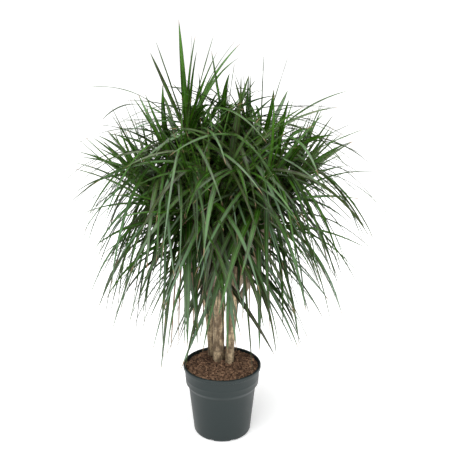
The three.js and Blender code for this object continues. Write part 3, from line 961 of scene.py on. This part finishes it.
def plastic_material(look):
    """Satin injection-moulded plastic with a faint uneven gloss."""
    material, tree, shader = new_material("pot_plastic")
    link = tree.links.new
    position = node(tree, "ShaderNodeTexCoord").outputs["Object"]
    haze = mottle(tree, position, (1, 1, 1), (0, 0, 0), 9.0, 0.3, 0.7)
    uneven = math_node(tree, "MULTIPLY", haze.outputs["Mask"], 0.1)
    link(math_node(tree, "ADD", uneven, 0.38), shader.inputs["Roughness"])
    grain = node(tree, "ShaderNodeTexNoise", in_Scale=900.0, in_Detail=2.0)
    link(position, grain.inputs["Vector"])
    bump = node(tree, "ShaderNodeBump", in_Strength=0.06, in_Distance=0.0004)
    link(grain.outputs["Fac"], bump.inputs["Height"])
    link(bump.outputs["Normal"], shader.inputs["Normal"])
    shader.inputs["Base Color"].default_value = rgba(look.plastic)
    shader.inputs["Specular IOR Level"].default_value = 0.36
    return material


# ---------------------------------------------------------------- pot and potting mix


def arc(centre, radius, start, end, steps):
    """Points (radius from the axis, height) on an arc, from one angle to another in degrees."""
    angle = np.radians(np.linspace(start, end, steps))
    return [(centre[0] + radius * math.cos(a), centre[1] + radius * math.sin(a)) for a in angle]


def line_points(start, end, steps):
    """Points on a straight line, both ends left out."""
    share = np.arange(1, steps) / steps
    return [(start[0] + (end[0] - start[0]) * s, start[1] + (end[1] - start[1]) * s) for s in share]


def hollow_profile(clearance=0.0):
    """The pot's inside from the middle of its floor up to the foot of its collar."""
    w = POT["wall"] + clearance
    floor = POT["floor"] + clearance
    rise = floor + POT["channel_rise"]
    return [
        (POT["channel_inner"] - w - 4, floor),
        (POT["channel_inner"] - w, rise),
        (POT["drain_inner"], rise),
        (POT["drain_outer"], rise),
        (POT["channel_outer"] + w, rise),
        (POT["channel_outer"] + w + 3, floor + 2),
        (POT["foot_radius"] + 1, floor + 4),
        (POT["foot_radius"] + POT["foot_round"] - w - 1, POT["foot_round"] + floor + 2),
        (POT["neck_radius"] - w, POT["neck_height"]),
        (POT["collar_foot"] - w - 0.6, POT["collar_height"]),
    ]


def pot_profiles():
    """The pot's outline from the underside's middle, round the lip, to the floor's middle, and the
    rows of the drain's edges in it, below and above. The second outline has the notch of the rounded
    edge."""
    foot, rounding = POT["foot_radius"], POT["foot_round"]
    wall_foot = foot + rounding
    rim, lip = POT["rim_height"], POT["lip_radius"]
    under = [
        (POT["channel_inner"] - 4, 0),
        (POT["channel_inner"], POT["channel_rise"]),
        (POT["drain_inner"], POT["channel_rise"]),
        (POT["drain_outer"], POT["channel_rise"]),
        (POT["channel_outer"], POT["channel_rise"]),
        (POT["channel_outer"] + 3, 0),
        (foot - 0.4, 0),
    ]
    round_edge = arc((foot, rounding), rounding, -90, 0, 12)
    rise = POT["notch_rise"]
    corner = math.sqrt(rounding**2 - (rounding - rise) ** 2)
    notch = [(foot, 0), (foot, 0.3), (foot, rise * 0.5), (foot, rise - 0.3), (foot, rise)]
    notch += line_points((foot, rise), (foot + corner, rise), 4)
    notch += [(foot + corner, rise), (foot + corner + 0.1, rise + 0.2), *round_edge[-2:]]
    wall = line_points((wall_foot, rounding), (POT["neck_radius"], POT["neck_height"]), 12)
    wall += [
        (POT["neck_radius"] + 0.1, POT["neck_height"] - 1.5),
        (POT["neck_radius"] + 0.6, POT["neck_height"] + 0.8),
        (POT["neck_radius"] + 1.8, POT["neck_height"] + 3),
        (POT["collar_foot"] - 1.6, POT["collar_height"] - 2.6),
        (POT["collar_foot"] - 0.5, POT["collar_height"] - 0.9),
        (POT["collar_foot"], POT["collar_height"] + 1),
        (POT["collar_foot"] + 0.2, POT["collar_height"] + 3),
    ]
    ring_height = 186
    ring_radius = POT["collar_foot"] + (POT["collar_top"] - POT["collar_foot"]) * (19 / 47)
    wall += [
        (ring_radius - 0.15, ring_height - 1.4),
        (ring_radius + 0.25, ring_height - 0.7),
        (ring_radius + 0.35, ring_height),
        (ring_radius + 0.25, ring_height + 0.7),
        (ring_radius + 0.1, ring_height + 1.4),
        (POT["collar_top"] - 0.5, POT["lip_height"] - 8),
        (POT["collar_top"] - 0.1, POT["lip_height"] - 1.2),
        (POT["collar_top"] + 0.6, POT["lip_height"] - 0.1),
    ]
    lip_foot = POT["lip_height"]
    roll = [(lip - 1.2, lip_foot + 0.1), (lip - 0.3, lip_foot + 0.8), (lip, lip_foot + 2.2)]
    roll += arc((lip - 4, rim - 4), 4, 0, 90, 8)
    roll += [(POT["collar_top"] - 0.6, rim - 0.1), (POT["collar_top"] - 1.6, rim - 0.9)]
    roll += [(POT["collar_top"] - POT["wall"], rim - 3), (POT["collar_top"] - POT["wall"] - 0.7, rim - 14)]
    inside = hollow_profile()[::-1]
    plain = under + round_edge + wall + roll + inside
    notched = under + notch + wall + roll + inside
    below = (2, 3)
    above = (len(plain) - 1 - below[0], len(plain) - 1 - below[1])
    return np.array(plain, float), np.array(notched, float), below, above


def pot_mesh():
    """Points and faces of the pot: its outline carried round in equal columns.

    Every eighth of the way round, three columns of the raised ring's faces are left open above and
    below and joined by short walls, which makes a drain. Between the drains, three columns take the
    notched outline, and the column at each side of them stands twice, a hair apart, with each outline.
    """
    plain, notched, outer, inner = pot_profiles()
    pitch = POT_COLUMNS // POT["drains"]
    half = COLUMNS_PER_OPENING / 2
    angles, outlines, drained = [], [], []
    for column in range(POT_COLUMNS):
        place = (column + 0.5) % pitch
        place = min(place, pitch - place)
        notch_place = abs(((column + 0.5) % pitch) - pitch / 2)
        in_notch = notch_place <= half + 0.01
        at_edge = abs(notch_place - half) < 0.01
        enters = at_edge and ((column + 0.5) % pitch) < pitch / 2
        if at_edge:
            order = (plain, notched) if enters else (notched, plain)
            shifts = (0, NOTCH_WALL) if enters else (-NOTCH_WALL, 0)
            for outline, shift in zip(order, shifts):
                angles.append(column + 0.5 + shift)
                outlines.append(outline)
        else:
            angles.append(column + 0.5)
            outlines.append(notched if in_notch else plain)
        drained += [place <= half + 0.01] * (2 if at_edge else 1)
    angle = np.array(angles) / POT_COLUMNS * 2 * np.pi
    outlines = np.stack(outlines)
    rows, columns = len(plain), len(angle)
    radius, height = outlines[..., 0].T, outlines[..., 1].T
    points = np.stack([radius * np.cos(angle), radius * np.sin(angle), height], -1).reshape(-1, 3)
    quads = grid_faces(rows, columns).reshape(rows - 1, columns, 4)
    drained = np.array(drained)
    open_column = drained & np.roll(drained, -1)
    keep = np.ones((rows - 1, columns), bool)
    keep[outer[0], open_column] = False
    keep[inner[1], open_column] = False
    walls = []
    following = (np.arange(columns) + 1) % columns
    column = np.flatnonzero(open_column)
    for low, high, flip in ((outer[0], inner[0], False), (outer[1], inner[1], True)):
        a, b = low * columns + column, low * columns + following[column]
        c, d = high * columns + following[column], high * columns + column
        wall = np.stack([a, b, c, d], -1)
        walls.append(wall[:, ::-1] if flip else wall)
    starts = np.flatnonzero(open_column & ~np.roll(open_column, 1))
    ends = following[np.flatnonzero(open_column & ~np.roll(open_column, -1))]
    for side, flip in ((starts, True), (ends, False)):
        a, b = outer[0] * columns + side, outer[1] * columns + side
        c, d = inner[1] * columns + side, inner[0] * columns + side
        wall = np.stack([a, b, c, d], -1)
        walls.append(wall[:, ::-1] if flip else wall)
    middle = len(points)
    points = np.concatenate([points, [(0, 0, 0), (0, 0, POT["floor"])]])
    under = fan_faces(middle, np.arange(columns), False)
    top = fan_faces(middle + 1, (rows - 1) * columns + np.arange(columns), True)
    return points, [np.concatenate([quads[keep]] + walls), np.concatenate([under, top])]


def soil_height(x, y):
    """The potting mix's height: a low mound that falls with the square of the distance from the
    axis, with gentle unevenness from crossing sines."""
    out = np.hypot(x, y) / SOIL["radius"]
    mound = SOIL["crown"] - (SOIL["crown"] - SOIL["edge"]) * out**2
    bumps = np.sin(x / 9 + 1.3) * np.sin(y / 11 + 0.4)
    bumps = bumps + 0.7 * np.sin(x / 5 + y / 6) + 0.5 * np.sin(y / 4 - x / 7)
    return mound + 0.55 * bumps - 0.8


def soil_mesh(rng):
    """A closed bed: the pot's hollow with a small clearance, and over it the mound in fine rings."""
    outline = np.array(hollow_profile(MIX_CLEARANCE) + [(SOIL["radius"] - 1.2, SOIL["edge"] - 3)])
    columns = MIX_COLUMNS
    angle = np.arange(columns) / columns * 2 * np.pi
    sides = np.stack([
        outline[:, :1] * np.cos(angle), outline[:, :1] * np.sin(angle),
        np.broadcast_to(outline[:, 1:], (len(outline), columns)),
    ], -1)
    rings = (np.sqrt(np.linspace(1, 0.02, MIX_RINGS)) * (SOIL["radius"] - 1))[:, None]
    x, y = rings * np.cos(angle), rings * np.sin(angle)
    z = soil_height(x, y) + rng.normal(0, 0.5, x.shape)
    top = np.stack([x, y, z], -1)
    rows = np.concatenate([sides, top])
    points = np.concatenate([rows.reshape(-1, 3), [(0, 0, outline[0, 1])], [(0, 0, soil_height(0, 0))]])
    count = len(rows) * columns
    fans = [
        fan_faces(count, np.arange(columns), False),
        fan_faces(count + 1, count - columns + np.arange(columns), True),
    ]
    return points, [grid_faces(len(rows), columns), np.concatenate(fans)]


CHIP_CORNERS = np.array([(x, y, z) for z in (-1, 1) for y in (-1, 1) for x in (-1, 1)], float)
CHIP_PROPORTIONS = ((0.8, 2.2), (0.6, 1.1), (0.3, 0.7))  # length, width and thickness
CHIP_FACES = np.array([(0, 2, 3, 1), (4, 5, 7, 6), (0, 1, 5, 4), (2, 6, 7, 3), (0, 4, 6, 2), (1, 3, 7, 5)])


def chip_mesh(rng, count):
    """Loose chips: boxes whose corners are moved at random, turned at random and half sunk. Most
    are small crumbs, and a few are long flakes."""
    angle = rng.uniform(0, 2 * np.pi, count)
    out = np.sqrt(rng.uniform(0, 1, count)) * (SOIL["radius"] - 4)
    x, y = out * np.cos(angle), out * np.sin(angle)
    size = np.exp(rng.normal(0.65, 0.45, count))[:, None]
    proportions = [rng.uniform(low, high, count) for low, high in CHIP_PROPORTIONS]
    shape = size * np.stack(proportions, -1)
    local = CHIP_CORNERS[None] * shape[:, None] * rng.uniform(0.55, 1.1, (count, 8, 3))
    turn = rng.uniform(0, 2 * np.pi, count)
    tilt, roll = rng.normal(0, 0.45, count), rng.normal(0, 0.45, count)
    ct, st, cp, sp, cr, sr = (f(a) for a in (turn, tilt, roll) for f in (np.cos, np.sin))
    zero, one = np.zeros(count), np.ones(count)
    spin = np.stack([ct, -st, zero, st, ct, zero, zero, zero, one], -1).reshape(-1, 3, 3)
    pitch = np.stack([cp, zero, sp, zero, one, zero, -sp, zero, cp], -1).reshape(-1, 3, 3)
    lean = np.stack([one, zero, zero, zero, cr, -sr, zero, sr, cr], -1).reshape(-1, 3, 3)
    turned = np.einsum("nij,nkj->nki", spin @ pitch @ lean, local)
    centre = np.stack([x, y, soil_height(x, y) + shape[:, 2] * 0.5], -1)
    points = (turned + centre[:, None]).reshape(-1, 3)
    faces = (CHIP_FACES[None] + np.arange(count)[:, None, None] * 8).reshape(-1, 4)
    traits = np.ones((count, 8, 4))
    traits[..., 0] = (rng.random(count) ** 1.7)[:, None]
    return points, [faces], traits.reshape(-1, 4)


# ---------------------------------------------------------------- operators


def attach(piece, slot, *nodes):
    """Makes a piece ride with the plant and stand for frame nodes, which it hides. slot is not used."""
    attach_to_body(piece, "root")
    if nodes:
        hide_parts(*nodes)
    return piece


class DRAGON_OT_pot(bpy.types.Operator):
    """Builds the round nursery pot with its collar, rolled lip, drains and notched foot."""

    bl_idname = "dragon.pot"
    bl_label = "Pot"

    def execute(self, context):
        points, faces = pot_mesh()
        plastic = plastic_material(context.scene.dragon_pot)
        pot = make_piece("pot_shell", points, faces, plastic, sharp_angle=38)
        attach(pot, "pot", "nursery_pot")
        return {"FINISHED"}


class DRAGON_OT_mix(bpy.types.Operator):
    """Builds the bed of potting mix and the loose bark chips on it."""

    bl_idname = "dragon.mix"
    bl_label = "Potting mix"

    def execute(self, context):
        look = context.scene.dragon_pot
        rng = np.random.default_rng(11)
        peat = mix_material("potting_mix", look, False)
        bed = make_piece("mix_bed", *soil_mesh(rng), peat, sharp_angle=180)
        attach(bed, "mix", "potting_mix")
        points, faces, traits = chip_mesh(rng, look.chips)
        bark = mix_material("bark_chips", look, True)
        chips = make_piece("mix_chips", points, faces, bark, traits=traits)
        attach(chips, "mix")
        return {"FINISHED"}


class DRAGON_OT_canes(bpy.types.Operator):
    """Builds the three bare canes, each with uneven girth and a cut top."""

    bl_idname = "dragon.canes"
    bl_label = "Canes"

    def execute(self, context):
        look = context.scene.dragon_pot
        material = bark_material("cane_bark", look, look.bark_light, CANE_HOLLOWS, 1.3)
        rng = np.random.default_rng(21)
        for name, cane in CANES.items():

            def uneven(angle, along):
                slow = waves(rng, 7, angle, along, 3, 0.03)
                quick = waves(rng, 12, angle, along, 9, 0.25)
                return 1 + 0.03 * slow + 0.02 * quick

            reference = np.array([1.0, 0, 0])
            mesh = rod(cane["path"], cane["radius"], 180, 56, reference, uneven)
            points, faces, uv = mesh
            piece = make_piece(f"stem_{name}", points, faces, material, uv=uv)
            attach(piece, "bark", f"cane_{name}")
        return {"FINISHED"}


class DRAGON_OT_branches(bpy.types.Operator):
    """Builds the branches, ringed by the scars of fallen leaves."""

    bl_idname = "dragon.branches"
    bl_label = "Branches"

    def execute(self, context):
        look = context.scene.dragon_pot
        material = bark_material("branch_bark", look, BRANCH_RIDGES, BRANCH_HOLLOWS, 1.4)
        rng = np.random.default_rng(31)
        for k, crown in enumerate(CROWNS):

            def ringed(angle, along):
                zigzag = 1.2 * np.sin(3 * angle + along / 6)
                step = ((along + zigzag) / 5.5) % 1
                return 1 + 0.05 * (1 - step) ** 2 + 0.02 * waves(rng, 5, angle, along, 4, 0.1)

            path = branch_path(crown)
            across = crown_frame(crown[3], crown[4])[1]
            points, faces, uv = rod(path, BRANCH_RADIUS, 150, 28, across, ringed)
            piece = make_piece(f"shoot_{k + 1:02d}", points, faces, material, uv=uv)
            attach(piece, "young_bark", f"branch_{k + 1:02d}")
        return {"FINISHED"}


class DRAGON_OT_foliage(bpy.types.Operator):
    """Builds the crowns: a leafy tip with its main, fine and withered leaves."""

    bl_idname = "dragon.foliage"
    bl_label = "Foliage"

    def execute(self, context):
        look = context.scene.dragon_plant
        material = leaf_material(look)
        wood = grow_wood()
        for k, (crown, main) in enumerate(zip(CROWNS, grow_main_leaves())):
            rng = np.random.default_rng(400 + k)
            fine = grow_fine_leaves(rng, crown, k, wood, look.fine_leaves, False)
            dry = grow_fine_leaves(rng, crown, k, wood, look.dry_leaves, True)
            leaves = main + fine + dry
            dryness = np.array([0.0] * (len(main) + len(fine)) + [1.0] * len(dry))
            points, faces, uv, traits = blades(leaves, dryness, look.blade_thickness, rng)
            axis, across, _ = crown_frame(crown[3], crown[4])
            tip = np.array(crown[2], float)
            path = [tip + axis * (share * CORE_LENGTH) for share in (0, 0.33, 0.67, 1)]

            def even(angle, along):
                return np.ones(np.broadcast(angle, along).shape)

            core_points, core_faces, core_uv = rod(path, CORE_RADIUS, 12, 12, across, even)
            core_uv[:] = (0.25, 0.05)  # the green beside a leaf's foot
            core_traits = np.tile([0.6, 1, 0, 1], (len(core_points), 1))
            core_faces = [f + len(points) for f in core_faces]
            piece = make_piece(
                f"foliage_{k + 1:02d}",
                np.concatenate([points, core_points]),
                faces + core_faces,
                material,
                uv=np.concatenate([uv, core_uv]),
                traits=np.concatenate([traits, core_traits]),
            )
            attach(piece, "leaf", f"crown_{k + 1:02d}")
        return {"FINISHED"}


class DRAGON_OT_stage(bpy.types.Operator):
    """Builds the white floor that glows more away from the pot, white surroundings, lights and camera."""

    bl_idname = "dragon.stage"
    bl_label = "Stage"

    def execute(self, context):
        look = context.scene.dragon_stage
        material, tree, shader = new_material("backdrop")
        shader.inputs["Base Color"].default_value = rgba(look.backdrop)
        shader.inputs["Roughness"].default_value = 0.9
        shader.inputs["Specular IOR Level"].default_value = 0
        shader.inputs["Emission Color"].default_value = (1, 1, 1, 1)
        place = node(tree, "ShaderNodeTexCoord").outputs["Object"]
        away = node(tree, "ShaderNodeVectorMath", operation="LENGTH")
        tree.links.new(place, away.inputs[0])
        glow = node(tree, "ShaderNodeMapRange", interpolation_type="SMOOTHSTEP")
        for socket, value in (
            ("From Min", GLOW_NEAR),
            ("From Max", GLOW_FAR),
            ("To Min", look.floor_glow),
            ("To Max", WHITE_GLOW),
        ):
            glow.inputs[socket].default_value = value
        tree.links.new(away.outputs["Value"], glow.inputs["Value"])
        tree.links.new(glow.outputs["Result"], shader.inputs["Emission Strength"])
        floor = make_piece(
            "floor",
            [(x * FLOOR_HALF, y * FLOOR_HALF, -0.5) for x, y in ((-1, -1), (1, -1), (1, 1), (-1, 1))],
            [[(0, 1, 2, 3)]],
            material,
        )
        world = bpy.data.worlds.new("studio")
        world.use_nodes = True
        tree = world.node_tree
        around = tree.nodes["Background"]
        around.inputs["Color"].default_value = (1, 1, 1, 1)
        around.inputs["Strength"].default_value = look.surround
        seen = node(tree, "ShaderNodeBackground", in_Color=(1, 1, 1, 1), in_Strength=WHITE_GLOW)
        path = node(tree, "ShaderNodeLightPath")
        mix = node(tree, "ShaderNodeMixShader")
        tree.links.new(path.outputs["Is Camera Ray"], mix.inputs[0])
        tree.links.new(around.outputs[0], mix.inputs[1])
        tree.links.new(seen.outputs[0], mix.inputs[2])
        tree.links.new(mix.outputs[0], tree.nodes["World Output"].inputs["Surface"])
        context.scene.world = world
        for name, place, size, share in LIGHTS:
            light = bpy.data.lights.new(name, "AREA")
            light.energy = look.key_power * share
            light.size = size
            lamp = bpy.data.objects.new(name, light)
            lamp.location = place
            aim = Vector(AIM) - Vector(place)
            lamp.rotation_euler = aim.to_track_quat("-Z", "Y").to_euler()
            context.scene.collection.objects.link(lamp)
        camera = bpy.data.cameras.new("camera")
        camera.lens = LENS
        camera.sensor_width = SENSOR
        view = bpy.data.objects.new("camera", camera)
        view.location = (CAMERA_SHIFT, -look.camera_distance, look.camera_height)
        view.rotation_euler = (math.radians(90 - CAMERA_TILT), 0, 0)
        context.scene.collection.objects.link(view)
        context.scene.camera = view
        context.scene.view_settings.view_transform = "Standard"
        return {"FINISHED"}


class DRAGON_PT_panel(bpy.types.Panel):
    """Lists the plant's sizes and colours, and the steps that build it."""

    bl_idname = "DRAGON_PT_panel"
    bl_label = "Dragon tree"
    bl_space_type = "VIEW_3D"
    bl_region_type = "UI"
    bl_category = "Dragon tree"

    def draw(self, context):
        for group in ("dragon_plant", "dragon_pot", "dragon_stage"):
            look = getattr(context.scene, group)
            box = self.layout.box()
            for name in look.__annotations__:
                box.prop(look, name)
        for step in STEPS:
            self.layout.operator(step.bl_idname)


GROUPS = (("dragon_plant", PlantLook), ("dragon_pot", PotLook), ("dragon_stage", StageLook))
STEPS = (
    DRAGON_OT_pot,
    DRAGON_OT_mix,
    DRAGON_OT_canes,
    DRAGON_OT_branches,
    DRAGON_OT_foliage,
    DRAGON_OT_stage,
)


def register():
    """Registers the classes and hangs the groups on the scene."""
    for name, group in GROUPS:
        bpy.utils.register_class(group)
        setattr(bpy.types.Scene, name, bpy.props.PointerProperty(type=group))
    for step in (*STEPS, DRAGON_PT_panel):
        bpy.utils.register_class(step)


def unregister():
    """Takes the classes and the groups away again."""
    for step in reversed((*STEPS, DRAGON_PT_panel)):
        bpy.utils.unregister_class(step)
    for name, group in reversed(GROUPS):
        delattr(bpy.types.Scene, name)
        bpy.utils.unregister_class(group)


def main():
    """Builds everything."""
    register()
    for build in (
        bpy.ops.dragon.pot,
        bpy.ops.dragon.mix,
        bpy.ops.dragon.canes,
        bpy.ops.dragon.branches,
        bpy.ops.dragon.foliage,
        bpy.ops.dragon.stage,
    ):
        build()
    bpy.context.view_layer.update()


if __name__ == "__main__":
    main()
